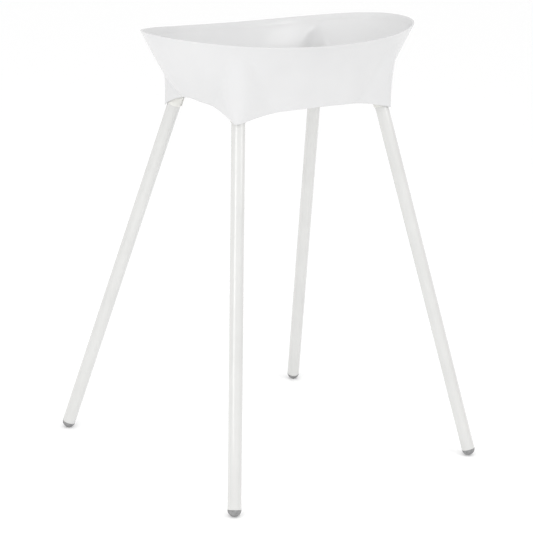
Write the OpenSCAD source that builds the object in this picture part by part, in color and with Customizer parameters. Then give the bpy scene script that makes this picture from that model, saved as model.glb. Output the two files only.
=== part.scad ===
// Baby bath stand: an open oval holder on four splayed plug-in legs.
// Millimetres. The origin is on the floor under the middle of the holder, +Z is up,
// X runs along the holder's length and the front is towards -Y.

/* [Holder] */
// Length of the rim, left to right
rim_length = 698; // [680:1:720]
// Width of the rim, front to back
rim_width = 373; // [366:1:390]
// Roundness of the rim: 2 is an ellipse, more is squarer
rim_power = 2.18; // [2.1:0.02:2.3]
// Height of the rim at the middle of its long sides
rim_height = 958; // [950:1:970]
// How much higher the rim is at its two ends
rim_rise = 21; // [10:1:30]
// Thickness of the moulded wall
wall = 2.6; // [2.2:0.1:2.8]
// Extra thickness of the wall at the rim
rim_bead = 1.4; // [0:0.1:2]
// Softness of the crease where a corner post meets the flared wall
crease_blend = 4; // [3:1:12]

/* [Corner posts] */
// Half the length over the corner posts, at their bottom
post_half_x = 220.5; // [220:0.5:222]
// Half the width over the corner posts, at their bottom
post_half_y = 138; // [137:0.5:139]
// Outside corner radius of a post, at its bottom
post_radius = 14; // [12:1:16]

/* [Legs] */
// Height where the legs leave the holder
joint_height = 796; // [790:1:800]
// Distance of a leg's axis from the middle plane at the joint, along X
joint_x = 202; // [200:0.5:202]
// Distance of a leg's axis from the middle plane at the joint, along Y
joint_y = 119; // [117:0.5:119]
// Distance of a leg's axis from the middle plane at the floor, along X
foot_x = 341; // [320:1:345]
// Distance of a leg's axis from the middle plane at the floor, along Y
foot_y = 330; // [310:1:335]
// Outside diameter of the leg tube
tube_diameter = 30; // [28:0.5:30]
// Wall of the leg tube
tube_wall = 1.5; // [1.2:0.1:1.8]

/* [Leg lock] */
// Running clearance of the tube in its socket, on the radius
socket_clearance = 0.08; // [0.03:0.01:0.1]
// Wall of the socket sleeve
socket_wall = 2.4; // [2:0.1:2.6]
// Diameter of the snap button
button_diameter = 8; // [7:0.5:9]
// How far the snap button is pressed to free the leg
button_travel = 4.5; // [4:0.1:4.6]

/* [Hidden] */
CORNERS = [["front_left", -1, -1], ["front_right", 1, -1], ["rear_left", -1, 1], ["rear_right", 1, 1]];

rim_a = rim_length / 2;
rim_b = rim_width / 2;

// Cup wall: how far it has come in, for 1, 2 and 3 powers of the depth under the rim, and how
// much squarer its oval is, for 1 and 2 powers
end_flare = [0.683, -0.00047, 0.000005];
side_flare = [0.728, -0.00626, 0.00002];
squarer = [0.00701, -0.0000462];

// Corner posts: outward draft per mm of height, and growth of the corner radius
post_draft_x = 0.21;
post_draft_y = 0.042;
post_radius_growth = [0.574, -0.00225];

// Bottom edge: rise, run and sharpness of its arch between the legs
long_arch = [24, 76, 1.21];
long_arch_start = 218.3;
end_arch = [46.7, 76, 1.03];
end_arch_start = 130.2;

quarter_columns = 28;
rows = 18;
slope_step = 0.2;
bead_share = 1 / 12;

// Leg frame: local Z runs up the tube, local X points outwards, its origin is the joint
leg_run = norm([foot_x - joint_x, foot_y - joint_y]);
leg_lean = atan(leg_run / joint_height);
leg_azimuth = atan2(foot_y - joint_y, foot_x - joint_x);
tube_r = tube_diameter / 2;
bore_r = tube_r + socket_clearance;
tube_inner_r = tube_r - tube_wall;
foot_z = -(joint_height - tube_r) / cos(leg_lean);

// Socket sleeve, from its mouth to its closed end, and the room that it has inside its post
socket_mouth = 2;
tube_top = 76;
plug_flange = 2;
socket_stop = tube_top + plug_flange;
socket_end_wall = 3;
socket_top = socket_stop + socket_end_wall;
socket_r = bore_r + socket_wall;
socket_vent_r = 5;
room_gap = 0.25;
overcut = 10;

// Lock: the button's place up the tube, and the bridge of sleeve below its hole that holds the leg
lock_height = 38;
lock_gap = 0.3;
lock_bridge = 4.7;
button_r = button_diameter / 2;
button_lip = 1.2;
button_flange = 1.3;
button_flange_top = sqrt(pow(tube_inner_r, 2) - pow(button_r + button_lip, 2)) - 0.16;
button_top = tube_r + button_travel;
button_edge = 1;
button_edge_inset = 0.8;
lock_hole_r = button_r + lock_gap;
guide_top = lock_height - lock_hole_r - lock_bridge;

// Screws that hold a socket to two bosses inside its post
boss_y = [160, 838];
boss_x = [88, 822];
boss_length = 16;
boss_tip_r = 4.6;
boss_root_r = 5.6;
boss_tilt = [0, atan(post_draft_x)];
ear_thick = 3;
ear_half = 8;
ear_reach_x = 38;
ear_reach_y = 29;
ear_face_y = 122;
ear_face_x = 208;
screw_r = 1.9;
screw_hole_r = 2.2;
pilot_r = 2.0;
pilot_depth = 12;
screw_reach = 10;
screw_head_r = 3.6;
screw_head = 2.2;
recess_length = 4;
recess_width = 1;
recess_depth = 1.2;

// Plugs at both ends of a tube, with ribs that grip its wall
plug_gap = 0.6;
rib_gap = 0.05;
rib_width = 1.6;
top_plug_length = 9;
top_plug_ribs = 2;
foot_plug_length = 22;
foot_plug_ribs = 4;

// Folded spring strip
spring_strip = 0.7;
spring_half_width = 4;
spring_half_seat = 7;
spring_fold = 24;
spring_fold_inset = 3;
spring_back_gap = 1.2;
spring_tail = 6;

// ---- Holder surface ----

function power3(k, d) = k[0] * d + k[1] * d * d + k[2] * d * d * d;
function oval(c, s, a, b, n) = pow(pow(c / a, n) + pow(s / b, n), -1 / n);

function rim_z(c, s) =
    let (x = oval(c, s, rim_a, rim_b, rim_power) * c)
    rim_height + rim_rise * pow(x / rim_a, 2);

function cup_r(c, s, z) =
    let (d = rim_z(c, s) - z)
    oval(c, s, rim_a - power3(end_flare, d), rim_b - power3(side_flare, d),
        rim_power + squarer[0] * d + squarer[1] * d * d);

function post_r(c, s, z) =
    let (
        h = z - joint_height,
        p = post_half_x + post_draft_x * h,
        q = post_half_y + post_draft_y * h,
        r = post_radius + post_radius_growth[0] * h + post_radius_growth[1] * h * h,
        flat = min(p / max(c, 0.0001), q / max(s, 0.0001)),
        round = flat * c > p - r && flat * s > q - r,
        along = c * (p - r) + s * (q - r),
        away = pow(p - r, 2) + pow(q - r, 2) - r * r
    )
    round ? along + sqrt(max(along * along - away, 0)) : flat;

// The larger of two radii, with their crossing rounded off
function blend_max(a, b, k) = max(a, b) + pow(max(k - abs(a - b), 0), 2) / (4 * k);

function shell_r(c, s, z) = blend_max(cup_r(c, s, z), post_r(c, s, z), crease_blend);

function arch(k, run) = k[0] * (1 - exp(-pow(max(run, 0) / k[1], k[2])));
function edge_at(x, y) = joint_height + arch(long_arch, long_arch_start - x)
    + arch(end_arch, end_arch_start - y);
function edge_z(c, s) =
    let (
        r0 = shell_r(c, s, joint_height + 10), z0 = edge_at(r0 * c, r0 * s),
        r1 = shell_r(c, s, z0)
    )
    edge_at(r1 * c, r1 * s);

// Angle of a column, closer together at the posts. u runs from 0 to 4 round the holder
function quarter_angle(f) = 45 * f + 0.5 * atan2(post_half_y * pow(sin(90 * f), 2 / 3),
    post_half_x * pow(cos(90 * f), 2 / 3));
function column_angle(u) =
    let (quarter = floor(u), f = u - quarter)
    quarter % 2 == 0 ? 90 * quarter + quarter_angle(f)
        : 90 * (quarter + 1) - quarter_angle(1 - f);

function shell_point(angle, t) =
    let (
        c = abs(cos(angle)), s = abs(sin(angle)),
        low = edge_z(c, s), z = low + (rim_z(c, s) - low) * t,
        r = shell_r(c, s, z)
    )
    [r * cos(angle), r * sin(angle), z];

// The wall thickens over the top share of its height, with a round shoulder
function wall_at(t) = wall + rim_bead * sqrt(max(0, 1 - (1 - t) / bead_share));

// The point across the wall from an outside point, at the same height
function inside_point(angle, t) =
    let (
        p = shell_point(angle, t),
        round_step = shell_point(angle + slope_step, t) - shell_point(angle - slope_step, t),
        up_step = shell_point(angle, min(t + 0.01, 1)) - shell_point(angle, max(t - 0.01, 0)),
        normal = cross(round_step, up_step),
        flat = [normal[0], normal[1], 0]
    )
    p - flat * (wall_at(t) * norm(normal) / pow(norm(flat), 2));

module shell_wall() {
    columns = 4 * quarter_columns;
    angles = [for (i = [0:columns - 1]) column_angle(i / quarter_columns)];
    outside = [for (j = [0:rows]) for (a = angles) shell_point(a, j / rows)];
    inside = [for (j = [0:rows]) for (a = angles) inside_point(a, j / rows)];
    offset = len(outside);
    function at(i, j) = (i % columns) + j * columns;
    skin = [for (j = [0:rows - 1]) for (i = [0:columns - 1]) each [
        [at(i, j), at(i + 1, j + 1), at(i + 1, j)],
        [at(i, j), at(i, j + 1), at(i + 1, j + 1)],
        [offset + at(i, j), offset + at(i + 1, j), offset + at(i + 1, j + 1)],
        [offset + at(i, j), offset + at(i + 1, j + 1), offset + at(i, j + 1)]
    ]];
    edges = [for (i = [0:columns - 1]) each [
        [at(i, 0), at(i + 1, 0), offset + at(i + 1, 0)],
        [at(i, 0), offset + at(i + 1, 0), offset + at(i, 0)],
        [at(i, rows), offset + at(i + 1, rows), at(i + 1, rows)],
        [at(i, rows), offset + at(i, rows), offset + at(i + 1, rows)]
    ]];
    polyhedron(points = concat(outside, inside), faces = concat(skin, edges), convexity = 6);
}

// A screw boss that stands along local +Z, with its free end at the origin and its root tilted
module boss(tilt) {
    difference() {
        hull() {
            cylinder(r = boss_tip_r, h = 1, $fn = 32);
            translate([0, 0, boss_length]) rotate([0, tilt, 0])
                cylinder(r = boss_root_r, h = 1, $fn = 32);
        }
        translate([0, 0, -1]) cylinder(r = pilot_r, h = pilot_depth + 1, $fn = 32);
    }
}

// The first screw goes into the long wall, the second into the end wall
module at_screw(i) {
    if (i == 0) translate([boss_y[0], ear_face_y, boss_y[1]]) rotate([-90, 0, 0]) children();
    else translate([ear_face_x, boss_x[0], boss_x[1]]) rotate([0, 90, 0]) children();
}

module at_corner(c) {
    mirror([c[1] < 0 ? 1 : 0, 0, 0]) mirror([0, c[2] < 0 ? 1 : 0, 0]) children();
}

module at_leg(c) {
    at_corner(c) translate([joint_x, joint_y, joint_height])
        rotate([0, 0, leg_azimuth]) rotate([0, -leg_lean, 0]) children();
}

module holder_shell() {
    color("white") {
        shell_wall();
        for (c = CORNERS) for (i = [0, 1]) at_corner(c) at_screw(i) boss(boss_tilt[i]);
    }
}

// ---- Sockets ----

// Ears are flat plates that lie on the bosses' ends, square to the holder
module socket_ears() {
    translate([boss_y[0] - ear_half, ear_face_y - ear_thick, boss_y[1] - ear_half])
        cube([ear_reach_x, ear_thick, 2 * ear_half]);
    translate([ear_face_x - ear_thick, boss_x[0] - ear_half, boss_x[1] - ear_half])
        cube([ear_thick, ear_reach_y, 2 * ear_half]);
}

// Bore, vent, lock hole and the guide slot that the button runs in until it meets the bridge
module socket_cuts() {
    side = 2 * socket_r;
    translate([0, 0, -overcut]) cylinder(r = bore_r, h = socket_stop + overcut);
    cylinder(r = socket_vent_r, h = socket_top + overcut);
    translate([0, 0, lock_height]) rotate([0, -90, 0]) cylinder(r = lock_hole_r, h = side);
    translate([-side, -lock_hole_r, -overcut]) cube([side, 2 * lock_hole_r, guide_top + overcut]);
}

// The space inside a post's two faces and its rounded corner, which trims the sleeve's mouth
module socket_room() {
    x = post_half_x - wall - room_gap;
    y = post_half_y - wall - room_gap;
    r = post_radius - wall - room_gap;
    translate([0, 0, joint_height - overcut]) linear_extrude(height = socket_top + 2 * overcut) {
        square([x - r, y]);
        square([x, y - r]);
        translate([x - r, y - r]) circle(r = r);
    }
}

module leg_socket(c) {
    color("ivory") intersection() {
        difference() {
            union() {
                at_leg(c) translate([0, 0, socket_mouth])
                    cylinder(r = socket_r, h = socket_top - socket_mouth);
                at_corner(c) socket_ears();
            }
            at_leg(c) socket_cuts();
            for (i = [0, 1]) at_corner(c) at_screw(i) translate([0, 0, -overcut])
                cylinder(r = screw_hole_r, h = 2 * overcut);
        }
        at_corner(c) socket_room();
    }
}

module screw() {
    difference() {
        union() {
            translate([0, 0, -ear_thick]) cylinder(r = screw_r, h = ear_thick + screw_reach);
            translate([0, 0, -ear_thick - screw_head]) cylinder(r = screw_head_r, h = screw_head);
        }
        for (turn = [0, 90]) rotate([0, 0, turn])
            translate([-recess_length / 2, -recess_width / 2, -ear_thick - screw_head - 1])
                cube([recess_length, recess_width, recess_depth + 1]);
    }
}

module socket_screws() {
    color("silver") for (c = CORNERS) for (i = [0, 1]) at_corner(c) at_screw(i) screw();
}

// ---- Legs ----

module leg_tube(c) {
    color("white") at_leg(c) difference() {
        translate([0, 0, foot_z]) cylinder(r = tube_r, h = tube_top - foot_z);
        translate([0, 0, foot_z - 1]) cylinder(r = tube_inner_r, h = tube_top - foot_z + 2);
        translate([0, 0, lock_height]) rotate([0, -90, 0])
            cylinder(r = button_r + lock_gap / 2, h = tube_diameter);
    }
}

// A plug with a flange and ribs, pressed into a tube end. Local Z points out of the tube
module ribbed_plug(length, ribs) {
    translate([0, 0, -length]) cylinder(r = tube_inner_r - plug_gap, h = length);
    for (i = [1:ribs]) translate([0, 0, -i * length / (ribs + 0.5)])
        cylinder(r = tube_inner_r - rib_gap, h = rib_width);
}

module tube_plug(c) {
    color("gainsboro") at_leg(c) translate([0, 0, tube_top]) {
        ribbed_plug(top_plug_length, top_plug_ribs);
        cylinder(r = tube_r - 2 * rib_gap, h = plug_flange - 2 * rib_gap);
    }
}

// A domed rubber cap: its dome is as wide as the tube and rests on the floor
module foot_cap(c) {
    color("gray") at_leg(c) translate([0, 0, foot_z]) {
        rotate([180, 0, 0]) ribbed_plug(foot_plug_length, foot_plug_ribs);
        rotate_extrude() intersection() {
            circle(r = tube_r);
            translate([0, -tube_r]) square([tube_r, tube_r]);
        }
    }
}

// A folded flat spring: one arm lies on the tube's far wall, the other carries the button
module snap_spring(c) {
    seat = button_flange_top - button_flange - 2 * rib_gap;
    back = tube_inner_r - spring_back_gap;
    low = lock_height - spring_half_seat;
    high = lock_height + spring_half_seat;
    fold = lock_height + spring_fold;
    color("silver") at_leg(c) rotate([90, 0, 0]) translate([0, 0, -spring_half_width])
        linear_extrude(height = 2 * spring_half_width)
            polygon([
                [-seat, low], [-seat, high], [back - spring_fold_inset, fold], [back, fold],
                [back, low - spring_tail], [back - spring_strip, low - spring_tail],
                [back - spring_strip, fold - spring_strip],
                [back - spring_fold_inset + spring_strip, fold - spring_strip],
                [-seat + spring_strip, high - spring_strip / 2], [-seat + spring_strip, low]
            ]);
}

module snap_button(c) {
    under = button_flange_top - button_flange;
    color("gainsboro") at_leg(c) translate([0, 0, lock_height]) rotate([0, -90, 0])
        rotate_extrude() polygon([
            [0, under], [button_r + button_lip, under], [button_r + button_lip, button_flange_top],
            [button_r, button_flange_top], [button_r, button_top - button_edge],
            [button_r - button_edge_inset, button_top], [0, button_top]
        ]);
}

module piece(name, c) {
    if (name == "leg_socket") leg_socket(c);
    if (name == "leg_tube") leg_tube(c);
    if (name == "tube_plug") tube_plug(c);
    if (name == "foot_cap") foot_cap(c);
    if (name == "snap_spring") snap_spring(c);
    if (name == "snap_button") snap_button(c);
}

holder_shell();
socket_screws();
for (c = CORNERS)
    for (name = ["leg_socket", "leg_tube", "tube_plug", "foot_cap", "snap_spring", "snap_button"])
        piece(name, c);
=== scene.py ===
"""Looks of the baby bath stand: meshes, materials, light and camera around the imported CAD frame.

Sizes are in millimetres where the shapes are worked out, and MM turns them into Blender's metres.
"""

import math

import bpy
import bmesh
import numpy as np
from mathutils import Matrix, Vector


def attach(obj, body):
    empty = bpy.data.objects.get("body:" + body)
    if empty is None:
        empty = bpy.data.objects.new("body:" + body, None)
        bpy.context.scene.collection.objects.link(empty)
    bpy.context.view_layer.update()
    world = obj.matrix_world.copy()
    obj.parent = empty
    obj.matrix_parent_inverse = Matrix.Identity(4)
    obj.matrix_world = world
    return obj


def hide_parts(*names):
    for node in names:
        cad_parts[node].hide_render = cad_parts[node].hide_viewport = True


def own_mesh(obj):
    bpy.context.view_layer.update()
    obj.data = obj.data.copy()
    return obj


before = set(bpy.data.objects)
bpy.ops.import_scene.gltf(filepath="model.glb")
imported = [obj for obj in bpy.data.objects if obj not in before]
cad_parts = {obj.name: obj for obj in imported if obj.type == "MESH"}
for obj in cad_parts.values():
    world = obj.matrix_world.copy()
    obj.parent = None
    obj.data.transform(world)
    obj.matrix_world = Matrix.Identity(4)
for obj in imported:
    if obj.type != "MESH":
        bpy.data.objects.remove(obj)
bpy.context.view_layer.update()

MM = 0.001
CORNERS = {
    "front_left": (-1, -1),
    "front_right": (1, -1),
    "rear_left": (-1, 1),
    "rear_right": (1, 1),
}

# ---- Driving dimensions, as in the CAD ----

RIM_A, RIM_B, RIM_POWER = 349.0, 186.5, 2.18
RIM_HEIGHT, RIM_RISE = 958.0, 21.0
# The bead thickens the wall over its top twelfth
WALL, RIM_BEAD, BEAD_PART = 2.6, 1.4, 12
CREASE_BLEND = 4.0
END_FLARE = (0.683, -0.00047, 0.000005)
SIDE_FLARE = (0.728, -0.00626, 0.00002)
SQUARER = (0.00701, -0.0000462)
POST_HALF_X, POST_HALF_Y, POST_RADIUS = 220.5, 138.0, 14.0
POST_DRAFT_X, POST_DRAFT_Y = 0.21, 0.042
POST_RADIUS_GROWTH = (0.574, -0.00225)
LONG_ARCH, LONG_ARCH_START = (24.0, 76.0, 1.21), 218.3
END_ARCH, END_ARCH_START = (46.7, 76.0, 1.03), 130.2

# The rear right leg's axis, from where it leaves its post to where it meets the floor
JOINT = Vector((202.0, 119.0, 796.0))
FOOT = Vector((341.0, 330.0, 0.0))
TUBE_R, LOCK_HEIGHT = 15.0, 38.0
EAR_FACE_X, EAR_FACE_Y = 208.0, 122.0
# Along the wall and up from the floor
BOSS_ON_Y_WALL, BOSS_ON_X_WALL = (160.0, 838.0), (88.0, 822.0)
BOSS_LENGTH = 16.0

# The seat and back faces are measured from the tube's axis, the half seat and fold from the button's
# height, the inset across the tube, and the tail down from the seat's lower end
SPRING_SEAT, SPRING_BACK = 10.89, 12.3
SPRING_STRIP, SPRING_HALF_WIDTH, SPRING_BEND = 0.7, 4.0, 1.4
SPRING_HALF_SEAT, SPRING_FOLD, SPRING_FOLD_INSET, SPRING_TAIL = 7.0, 24.0, 3.0, 6.0

LEG_DIRECTION = (JOINT - FOOT).normalized()
FOOT_Z = -(JOINT.z - TUBE_R) / LEG_DIRECTION.z

# ---- Mesh fineness ----

COLUMNS_PER_QUARTER, WALL_LEVELS = 120, 90
RIM_SOFT, EDGE_SOFT = 1.3, 0.8
TURN_SEGMENTS, BOSS_SEGMENTS = 96, 48
ON_AXIS, NEAR_ZERO = 1e-6, 1e-9

# ---- Mesh helpers ----


def smooth_object(name, vertices, faces, sharp_degrees=None):
    """A smooth-shaded mesh object from vertices in millimetres, with edges over the angle kept sharp."""
    mesh = bpy.data.meshes.new(name)
    mesh.from_pydata([tuple(float(x) * MM for x in v) for v in vertices], [], faces)
    mesh.update()
    mesh.shade_smooth()
    if sharp_degrees:
        mesh.set_sharp_from_angle(angle=math.radians(sharp_degrees))
    made = bpy.data.objects.new(name, mesh)
    bpy.context.scene.collection.objects.link(made)
    return made


def grid_faces(rows, columns, close_rows=False):
    """Quads over rows of points that each run once round."""
    last = rows if close_rows else rows - 1
    return [
        (
            j * columns + i,
            j * columns + (i + 1) % columns,
            (j + 1) % rows * columns + (i + 1) % columns,
            (j + 1) % rows * columns + i,
        )
        for j in range(last)
        for i in range(columns)
    ]


def lathe(profile, segments=TURN_SEGMENTS):
    """(vertices, faces) of a closed profile of (radius, height) points turned round local Z."""
    turns = np.linspace(0, 2 * math.pi, segments, endpoint=False)
    vertices, rings = [], []
    for radius, height in profile:
        if radius < ON_AXIS:
            rings.append([len(vertices)])
            vertices.append((0.0, 0.0, height))
        else:
            rings.append(list(range(len(vertices), len(vertices) + segments)))
            vertices += [(radius * math.cos(a), radius * math.sin(a), height) for a in turns]
    faces = []
    for low, high in zip(rings, rings[1:]):
        for i in range(segments):
            k = (i + 1) % segments
            quad = [low[i % len(low)], low[k % len(low)], high[k % len(high)], high[i % len(high)]]
            faces.append(tuple(dict.fromkeys(quad)))
    return vertices, faces


def arc(centre, radius, start, end, steps):
    """Points of a (radius, height) profile's round stretch, from one angle in degrees to another."""
    angles = np.radians(np.linspace(start, end, steps + 1))
    return [(centre[0] + radius * math.cos(a), centre[1] + radius * math.sin(a)) for a in angles]


def corner_matrix(sx, sy):
    """Mirrors the rear right corner, where both signs are 1, to another corner."""
    return Matrix.Diagonal((sx, sy, 1, 1))


def leg_matrix(sx, sy):
    """Local Z runs up the tube, local X points outwards, and the origin is the joint, in mm."""
    lean = math.atan2(math.hypot(FOOT.x - JOINT.x, FOOT.y - JOINT.y), JOINT.z)
    azimuth = math.atan2(FOOT.y - JOINT.y, FOOT.x - JOINT.x)
    return (
        corner_matrix(sx, sy)
        @ Matrix.Translation(JOINT)
        @ Matrix.Rotation(azimuth, 4, "Z")
        @ Matrix.Rotation(-lean, 4, "Y")
    )


def placed(vertices, matrix):
    """Vertices moved by the matrix."""
    return [tuple(matrix @ Vector(v)) for v in vertices]


def fix_normals(made):
    """Faces all look outwards, whatever mirroring did to them."""
    work = bmesh.new()
    work.from_mesh(made.data)
    bmesh.ops.recalc_face_normals(work, faces=work.faces)
    work.to_mesh(made.data)
    work.free()
    return made


# ---- Holder surface, the same rule as the CAD ----


def powers(k, d):
    """A cubic in d with no constant term."""
    return k[0] * d + k[1] * d**2 + k[2] * d**3


def oval(c, s, a, b, n):
    """Radius of a superellipse with half sizes a and b at the direction with cosine c and sine s."""
    return ((c / a) ** n + (s / b) ** n) ** (-1 / n)


def rim_z(c, s):
    """Height of the rim, which rises towards the ring's two ends."""
    return RIM_HEIGHT + RIM_RISE * (oval(c, s, RIM_A, RIM_B, RIM_POWER) * c / RIM_A) ** 2


def cup_r(c, s, z):
    """Radius of the flared oval, narrower and squarer with depth below the rim."""
    depth = rim_z(c, s) - z
    return oval(
        c,
        s,
        RIM_A - powers(END_FLARE, depth),
        RIM_B - powers(SIDE_FLARE, depth),
        RIM_POWER + SQUARER[0] * depth + SQUARER[1] * depth**2,
    )


def post_r(c, s, z):
    """Radius of the drafted, round-cornered rectangle that the four posts lie on."""
    h = z - JOINT.z
    p = POST_HALF_X + POST_DRAFT_X * h
    q = POST_HALF_Y + POST_DRAFT_Y * h
    r = POST_RADIUS + POST_RADIUS_GROWTH[0] * h + POST_RADIUS_GROWTH[1] * h**2
    flat = np.minimum(p / np.maximum(c, NEAR_ZERO), q / np.maximum(s, NEAR_ZERO))
    along = c * (p - r) + s * (q - r)
    away = (p - r) ** 2 + (q - r) ** 2 - r**2
    turned = along + np.sqrt(np.maximum(along**2 - away, 0))
    return np.where((flat * c > p - r) & (flat * s > q - r), turned, flat)


def shell_r(c, s, z):
    """The larger of oval and posts, with the crease between them blended."""
    a, b = cup_r(c, s, z), post_r(c, s, z)
    near = np.maximum(CREASE_BLEND - np.abs(a - b), 0)
    return np.maximum(a, b) + near**2 / (4 * CREASE_BLEND)


def arch(k, run):
    """Rise of the lower edge at a distance from its post, levelling off at k[0]."""
    return k[0] * (1 - np.exp(-((np.maximum(run, 0) / k[1]) ** k[2])))


def edge_z(c, s):
    """Height of the arched lower edge. It depends on the radius there, so it is worked out twice."""
    first_guess, rounds = JOINT.z + 10, 2
    z = np.full_like(c, first_guess)
    for _ in range(rounds):
        r = shell_r(c, s, z)
        z = JOINT.z + arch(LONG_ARCH, LONG_ARCH_START - r * c) + arch(END_ARCH, END_ARCH_START - r * s)
    return z


def shell_points(angles, t):
    """Outside points at angles round the holder, a share t of the way from its lower edge to its rim."""
    c, s = np.abs(np.cos(angles)), np.abs(np.sin(angles))
    low = edge_z(c, s)
    z = low + (rim_z(c, s) - low) * t
    r = shell_r(c, s, z)
    return np.stack([r * np.cos(angles), r * np.sin(angles), z], -1)


def shell_sides(angles, t):
    """Outside points, and the horizontal step from each one across the wall to the inside."""
    angle_step, share_step = 0.002, 0.004
    point = shell_points(angles, t)
    round_step = shell_points(angles + angle_step, t) - shell_points(angles - angle_step, t)
    above, below = np.minimum(t + share_step, 1), np.maximum(t - share_step, 0)
    up_step = shell_points(angles, above) - shell_points(angles, below)
    normal = np.cross(round_step, up_step)
    flat = normal * (1, 1, 0)
    length = np.linalg.norm(normal, axis=-1, keepdims=True)
    thickness = WALL + RIM_BEAD * np.maximum(0, t * BEAD_PART - (BEAD_PART - 1)) ** 0.5
    return point, -flat * thickness[..., None] * length / (flat**2).sum(-1, keepdims=True)


def quarter_angle(f):
    """Angle at a share f of a quarter turn: the mean of an even spread and one that crowds the post."""
    p, q = POST_HALF_X, POST_HALF_Y
    turn = np.radians(90 * f)
    return np.radians(45 * f) + 0.5 * np.arctan2(q * np.sin(turn) ** (2 / 3), p * np.cos(turn) ** (2 / 3))


def column_angles(per_quarter):
    """Angles round the holder, closer together at the posts."""
    f = np.arange(per_quarter) / per_quarter
    first, second = quarter_angle(f), math.pi - quarter_angle(1 - f)
    return np.concatenate([first, second, first + math.pi, second + math.pi])


def rounded(start, corner, end, steps=5):
    """Rows of a quadratic curve from start to end that a corner pulls on."""
    return [
        (1 - k) ** 2 * start + 2 * k * (1 - k) * corner + k**2 * end
        for k in np.linspace(0, 1, steps + 1)
    ]


def holder_mesh():
    """The ring as one closed skin: up its outside, over the rim, down its inside, round the lower edge."""
    angles = column_angles(COLUMNS_PER_QUARTER)
    c, s = np.abs(np.cos(angles)), np.abs(np.sin(angles))
    height = rim_z(c, s) - edge_z(c, s)
    first, last = EDGE_SOFT / height, 1 - RIM_SOFT / height
    outside, inside = [], []
    for k in np.linspace(0, 1, WALL_LEVELS):
        point, across = shell_sides(angles, first + (last - first) * k)
        outside.append(point)
        inside.append(point + across)

    def end_rows(share, soft):
        """Corners of the cut end and the points a soft distance in from them."""
        point, across = shell_sides(angles, np.full_like(angles, share))
        part = soft / np.linalg.norm(across, axis=1, keepdims=True)
        return point, point + across * part, point + across * (1 - part), point + across

    rim_out, rim_near, rim_far, rim_in = end_rows(1.0, RIM_SOFT)
    edge_out, edge_near, edge_far, edge_in = end_rows(0.0, EDGE_SOFT)
    rows = outside[:-1] + rounded(outside[-1], rim_out, rim_near)
    rows += rounded(rim_far, rim_in, inside[-1]) + inside[-2:0:-1]
    rows += rounded(inside[0], edge_in, edge_far) + rounded(edge_near, edge_out, outside[0])[:-1]
    vertices = np.concatenate(rows)
    return smooth_object("holder", vertices, grid_faces(len(rows), len(angles), close_rows=True))


def boss_profile():
    """Half section of a screw boss: a blind hole from its free end and a slightly wider root."""
    free, root, hole, depth = 4.6, 5.6, 2.0, 12.0
    soft, soft_steps, chamfer = 0.5, 4, 0.4
    profile = [(hole, depth), (hole, chamfer), (hole + chamfer, 0.0)]
    profile += [(free - soft, 0.0)] + arc((free - soft, soft), soft, -90, 0, soft_steps)[1:]
    profile += [(root, BOSS_LENGTH)]
    return [(0.0, depth)] + profile + [(0.0, BOSS_LENGTH)]


def screw_matrices(sx, sy):
    """Where the two screws of a corner sit: local Z runs from the ear into the boss."""
    on_y = Matrix.Translation((BOSS_ON_Y_WALL[0], EAR_FACE_Y, BOSS_ON_Y_WALL[1]))
    on_x = Matrix.Translation((EAR_FACE_X, BOSS_ON_X_WALL[0], BOSS_ON_X_WALL[1]))
    return [
        corner_matrix(sx, sy) @ on_y @ Matrix.Rotation(math.radians(-90), 4, "X"),
        corner_matrix(sx, sy) @ on_x @ Matrix.Rotation(math.radians(90), 4, "Y"),
    ]


def screw_bosses():
    """The eight bosses. A boss's root leans with the wall that it stands on."""
    vertices, faces = [], []
    for sx, sy in CORNERS.values():
        for matrix, slope in zip(screw_matrices(sx, sy), (0.0, POST_DRAFT_X)):
            points, quads = lathe(boss_profile(), BOSS_SEGMENTS)
            points = [(x, y, z - slope * x if z == BOSS_LENGTH else z) for x, y, z in points]
            faces += [tuple(i + len(vertices) for i in quad) for quad in quads]
            vertices += placed(points, matrix)
    return fix_normals(smooth_object("screw_bosses", vertices, faces, sharp_degrees=40))


# ---- Foot caps ----


def foot_cap(name, sx, sy):
    """A domed cap with a short straight skirt, a soft lip at the tube and a ribbed plug in the tube."""
    lip = [(0.0, -0.5), (0.35, -0.08), (0.9, 0.0)]
    plug_r, plug_length, plug_chamfer = 12.9, 22.0, 1
    ribs, first_rib, rib_pitch, rib_r = 4, 3.0, 4.6, 13.4
    rib_full, rib_back, rib_end = 0.3, 1.0, 1.6
    dome_end, dome_steps = -2, 28
    profile = arc((0.0, 0.0), TUBE_R, -90, dome_end, dome_steps)
    profile += [(TUBE_R - inwards, z) for inwards, z in lip] + [(plug_r, 0.0)]
    for k in range(ribs):
        z = first_rib + rib_pitch * k
        profile += [(plug_r, z), (rib_r, z + rib_full), (rib_r, z + rib_back), (plug_r, z + rib_end)]
    profile += [(plug_r, plug_length - plug_chamfer), (plug_r - plug_chamfer, plug_length)]
    points, faces = lathe(profile + [(0.0, plug_length)])
    matrix = leg_matrix(sx, sy) @ Matrix.Translation((0, 0, FOOT_Z))
    return fix_normals(smooth_object(name, placed(points, matrix), faces, sharp_degrees=50))


# ---- Snap springs ----


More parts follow.
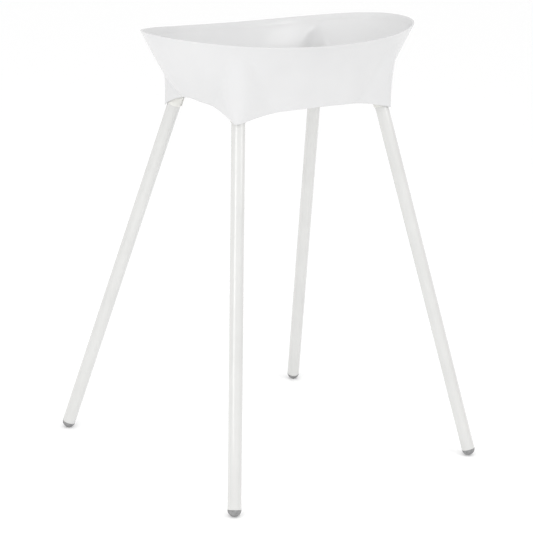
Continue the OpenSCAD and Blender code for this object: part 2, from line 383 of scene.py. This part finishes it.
def spring_path():
    """Middle of the folded strip in local (X, Z): up its button arm, over the fold, down its back arm."""
    front, back = SPRING_STRIP / 2 - SPRING_SEAT, SPRING_BACK - SPRING_STRIP / 2
    low, fold = LOCK_HEIGHT - SPRING_HALF_SEAT, LOCK_HEIGHT + SPRING_FOLD - SPRING_STRIP / 2
    bends = [
        (front, low),
        (front, LOCK_HEIGHT + SPRING_HALF_SEAT),
        (back - SPRING_FOLD_INSET, fold),
        (back, fold),
        (back, low - SPRING_TAIL),
    ]
    bends = [np.array(bend) for bend in bends]
    path = bends[:1]
    for before, bend, after in zip(bends, bends[1:], bends[2:]):
        to_before, to_after = before - bend, after - bend
        start = bend + to_before * SPRING_BEND / np.linalg.norm(to_before)
        end = bend + to_after * SPRING_BEND / np.linalg.norm(to_after)
        path += rounded(start, bend, end)
    return np.array(path + bends[-1:])


def folded_spring(name, sx, sy):
    """A flat spring strip with deburred edges, swept along its folds."""
    path = spring_path()
    along = np.gradient(path, axis=0)
    across = np.stack([-along[:, 1], along[:, 0]], -1) / np.linalg.norm(along, axis=1, keepdims=True)
    thick, wide, edge = SPRING_STRIP / 2, SPRING_HALF_WIDTH, 0.12
    half = [(thick - edge, -wide), (thick, edge - wide), (thick, wide - edge), (thick - edge, wide)]
    section = half + [(-t, -w) for t, w in half]
    rows = [[(x + n * t, w, z + m * t) for t, w in section] for (x, z), (n, m) in zip(path, across)]
    columns, last = len(section), (len(rows) - 1) * len(section)
    faces = grid_faces(len(rows), columns)
    faces += [tuple(range(columns)), tuple(range(last, last + columns))]
    points = placed([point for row in rows for point in row], leg_matrix(sx, sy))
    return fix_normals(smooth_object(name, points, faces, sharp_degrees=30))


def press_spring(spring):
    """Gives the spring its own copy of its mesh; the strip keeps its shape."""
    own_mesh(spring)


# ---- Materials ----

# Stretch of the marks on drawn steel
DRAWN = (1, 1, 0.1)


def new_material(name, colour, roughness):
    """(material, its Principled shader)"""
    made = bpy.data.materials.new(name)
    made.use_nodes = True
    shader = made.node_tree.nodes["Principled BSDF"]
    shader.inputs["Base Color"].default_value = (*colour, 1)
    shader.inputs["Roughness"].default_value = roughness
    return made, shader


def add_node(material, kind):
    return material.node_tree.nodes.new(kind)


def link(material, source, target):
    material.node_tree.links.new(source, target)


def object_noise(material, scale, detail=3.0, stretch=(1, 1, 1)):
    """Noise fixed to the object, with its scale in waves per metre."""
    place = add_node(material, "ShaderNodeTexCoord")
    shape = add_node(material, "ShaderNodeMapping")
    shape.inputs["Scale"].default_value = stretch
    noise = add_node(material, "ShaderNodeTexNoise")
    noise.inputs["Scale"].default_value = scale
    noise.inputs["Detail"].default_value = detail
    link(material, place.outputs["Object"], shape.inputs["Vector"])
    link(material, shape.outputs["Vector"], noise.inputs["Vector"])
    return noise.outputs["Fac"]


def vary_colour(material, shader, factor, dark, light):
    """Colour between dark and light, over the middle part of the factor's range."""
    ramp = add_node(material, "ShaderNodeValToRGB")
    stops = ((0.3, dark), (0.7, light))
    for element, (position, colour) in zip(ramp.color_ramp.elements, stops):
        element.position = position
        element.color = (*colour, 1)
    link(material, factor, ramp.inputs["Fac"])
    link(material, ramp.outputs["Color"], shader.inputs["Base Color"])


def vary_roughness(material, shader, factor, low, high):
    """Roughness that follows the factor from low to high."""
    spread = add_node(material, "ShaderNodeMapRange")
    spread.inputs["To Min"].default_value = low
    spread.inputs["To Max"].default_value = high
    link(material, factor, spread.inputs["Value"])
    link(material, spread.outputs["Result"], shader.inputs["Roughness"])


def add_bump(material, shader, factor, height, strength):
    """Fine relief that follows the factor, with its height in metres."""
    bump = add_node(material, "ShaderNodeBump")
    bump.inputs["Distance"].default_value = height
    bump.inputs["Strength"].default_value = strength
    link(material, factor, bump.inputs["Height"])
    link(material, bump.outputs["Normal"], shader.inputs["Normal"])


def moulded_plastic(name, dark, light, rough=(0.2, 0.26)):
    """Injection-moulded plastic: a fine even grain, broad faint flow tone and slightly uneven gloss."""
    made, shader = new_material(name, light, rough[0])
    vary_colour(made, shader, object_noise(made, scale=9.0, detail=2.0), dark, light)
    vary_roughness(made, shader, object_noise(made, scale=60.0, detail=3.0), *rough)
    add_bump(made, shader, object_noise(made, scale=2400.0, detail=2.0), height=0.00001, strength=0.6)
    return made


def powder_coat(name, dark, light):
    """Gloss powder coat on steel tube: orange-peel waves a few millimetres long."""
    made, shader = new_material(name, light, 0.2)
    vary_colour(made, shader, object_noise(made, scale=14.0, detail=2.0), dark, light)
    vary_roughness(made, shader, object_noise(made, scale=120.0, detail=2.0), low=0.08, high=0.13)
    add_bump(made, shader, object_noise(made, scale=420.0, detail=2.0), height=0.00003, strength=0.5)
    shader.inputs["Coat Weight"].default_value = 0.7
    shader.inputs["Coat Roughness"].default_value = 0.08
    return made


def matt_rubber(name, dark, light):
    """Rubber with a fine matt skin and cloudy tone."""
    made, shader = new_material(name, light, 0.75)
    vary_colour(made, shader, object_noise(made, scale=150.0, detail=4.0), dark, light)
    vary_roughness(made, shader, object_noise(made, scale=300.0, detail=3.0), low=0.62, high=0.8)
    add_bump(made, shader, object_noise(made, scale=1800.0, detail=4.0), height=0.00005, strength=0.8)
    return made


def bright_steel(name, dark, light, rough):
    """Plain drawn or plated steel, with faint marks that run along one way."""
    made, shader = new_material(name, light, rough[0])
    shader.inputs["Metallic"].default_value = 1.0
    vary_colour(made, shader, object_noise(made, scale=500.0, detail=4.0), dark, light)
    vary_roughness(made, shader, object_noise(made, 900.0, 4.0, DRAWN), *rough)
    add_bump(made, shader, object_noise(made, 3000.0, 2.0, DRAWN), height=0.00001, strength=0.5)
    return made


holder_white = moulded_plastic("holder_white", (0.652, 0.652, 0.656), (0.677, 0.677, 0.679))
socket_cream = moulded_plastic("socket_cream", (0.72, 0.715, 0.685), (0.75, 0.745, 0.715))
plug_grey = moulded_plastic("plug_grey", (0.58, 0.58, 0.58), (0.62, 0.62, 0.62))
button_white = moulded_plastic("button_white", (0.70, 0.70, 0.70), (0.74, 0.74, 0.74), (0.22, 0.3))
coat_white = powder_coat("coat_white", (0.615, 0.615, 0.603), (0.645, 0.645, 0.633))
foot_grey = matt_rubber("foot_grey", (0.205, 0.205, 0.207), (0.30, 0.30, 0.302))
spring_steel = bright_steel("spring_steel", (0.36, 0.36, 0.36), (0.46, 0.46, 0.46), (0.28, 0.4))
screw_zinc = bright_steel("screw_zinc", (0.50, 0.50, 0.49), (0.60, 0.60, 0.58), (0.25, 0.38))


def finish_with(made, material):
    """Makes the material a new piece's only one."""
    made.data.materials.clear()
    made.data.materials.append(material)
    return made


def finish_cad(node, material):
    """A material in every slot of a CAD node that keeps its own shape."""
    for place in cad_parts[node].material_slots:
        place.material = material


# ---- The pieces ----

holder = finish_with(holder_mesh(), holder_white)
bosses = finish_with(screw_bosses(), holder_white)
for made in (holder, bosses):
    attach(made, "holder")
    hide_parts("holder_shell")

finish_cad("socket_screws", screw_zinc)
for corner, (sx, sy) in CORNERS.items():
    cap = finish_with(foot_cap("rubber_foot_" + corner, sx, sy), foot_grey)
    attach(cap, "leg_" + corner)
    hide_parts("foot_cap_" + corner)
    finish_cad("leg_socket_" + corner, socket_cream)
    finish_cad("leg_tube_" + corner, coat_white)
    finish_cad("tube_plug_" + corner, plug_grey)
    spring = finish_with(folded_spring("folded_spring_" + corner, sx, sy), spring_steel)
    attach(spring, "leg_" + corner)
    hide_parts("snap_spring_" + corner)
    press_spring(spring)
    finish_cad("snap_button_" + corner, button_white)

# ---- Camera ----

CAMERA_AZIMUTH, CAMERA_ELEVATION, CAMERA_ROLL = -38.254, 15.338, 2.012
CAMERA_TARGET = Vector((0.0382, 0.0714, 0.4004))
CAMERA_DISTANCE, CAMERA_REACH = 4.597, 100
CAMERA_LENS, CAMERA_SENSOR = 133.38, 36.0


def direction(azimuth, elevation):
    """Unit vector towards a place round the stand: azimuth 0 is its front, -90 its left."""
    a, e = math.radians(azimuth), math.radians(elevation)
    return Vector((math.sin(a) * math.cos(e), -math.cos(a) * math.cos(e), math.sin(e)))


def make_camera():
    """The main view, from the front left and a little above."""
    back = direction(CAMERA_AZIMUTH, CAMERA_ELEVATION)
    level = Vector((0, 0, 1)).cross(back).normalized()
    roll = Matrix.Rotation(math.radians(CAMERA_ROLL), 3, back)
    right = roll @ level
    up = back.cross(right)
    data = bpy.data.cameras.new("camera")
    data.lens, data.sensor_width = CAMERA_LENS, CAMERA_SENSOR
    data.clip_end = CAMERA_REACH
    camera = bpy.data.objects.new("camera", data)
    camera.matrix_world = Matrix.Translation(CAMERA_TARGET + back * CAMERA_DISTANCE) @ Matrix(
        (right, up, back)
    ).transposed().to_4x4()
    bpy.context.scene.collection.objects.link(camera)
    bpy.context.scene.camera = camera


make_camera()

# ---- Studio ----

# The floor is in millimetres, the lights' places in metres
FLOOR_HALF = 4e4
FLOOR_GLOW = 0.09
STAND_MIDDLE = Vector((0, 0, 0.6))
BANK_DISTANCE = 2.6
WORLD_FRONT, WORLD_ABOVE = -30, 15
WORLD_START, WORLD_DIM, WORLD_BRIGHT = 0.1, 0.895, 1.09


def make_floor():
    """A plain pale floor that carries on past every view's horizon."""
    corners = [(sx * FLOOR_HALF, sy * FLOOR_HALF, 0) for sx, sy in ((-1, -1), (1, -1), (1, 1), (-1, 1))]
    made = smooth_object("floor", corners, [(0, 1, 2, 3)])
    material, shader = new_material("floor_white", (0.95, 0.95, 0.95), 0.9)
    vary_roughness(material, shader, object_noise(material, scale=2.0), low=0.85, high=0.95)
    shader.inputs["Emission Color"].default_value = (1, 1, 1, 1)
    shader.inputs["Emission Strength"].default_value = FLOOR_GLOW
    made.data.materials.append(material)


def make_world():
    """Soft studio surroundings: one even level, a little brighter towards the front."""
    world = bpy.data.worlds.new("studio")
    world.use_nodes = True
    tree = world.node_tree
    place = tree.nodes.new("ShaderNodeTexCoord")
    towards = tree.nodes.new("ShaderNodeVectorMath")
    towards.operation = "DOT_PRODUCT"
    towards.inputs[1].default_value = direction(WORLD_FRONT, WORLD_ABOVE)
    spread = tree.nodes.new("ShaderNodeMapRange")
    spread.interpolation_type = "SMOOTHSTEP"
    spread.inputs["From Min"].default_value = WORLD_START
    spread.inputs["To Min"].default_value = WORLD_DIM
    spread.inputs["To Max"].default_value = WORLD_BRIGHT
    tree.nodes["Background"].inputs["Color"].default_value = (1, 1, 1, 1)
    tree.links.new(place.outputs["Generated"], towards.inputs[0])
    tree.links.new(towards.outputs["Value"], spread.inputs["Value"])
    tree.links.new(spread.outputs["Result"], tree.nodes["Background"].inputs["Strength"])
    bpy.context.scene.world = world


def softbox(name, azimuth, elevation, width, height, radiance):
    """An area light that looks at the middle of the stand and stays out of every view."""
    data = bpy.data.lights.new(name, "AREA")
    data.shape, data.size, data.size_y = "RECTANGLE", width, height
    data.energy = radiance * width * height * math.pi
    made = bpy.data.objects.new(name, data)
    back = direction(azimuth, elevation)
    made.location = STAND_MIDDLE + back * BANK_DISTANCE
    made.rotation_euler = back.to_track_quat("Z", "Y").to_euler()
    made.visible_camera = False
    bpy.context.scene.collection.objects.link(made)


make_floor()
make_world()
softbox("left_bank", azimuth=-70, elevation=17, width=0.8, height=1.6, radiance=3.0)
softbox("right_bank", azimuth=23, elevation=27, width=0.6, height=1.25, radiance=3.2)
softbox("top_bank", azimuth=-30, elevation=78, width=1.6, height=1.6, radiance=0.65)
bpy.context.scene.view_settings.view_transform = "Standard"
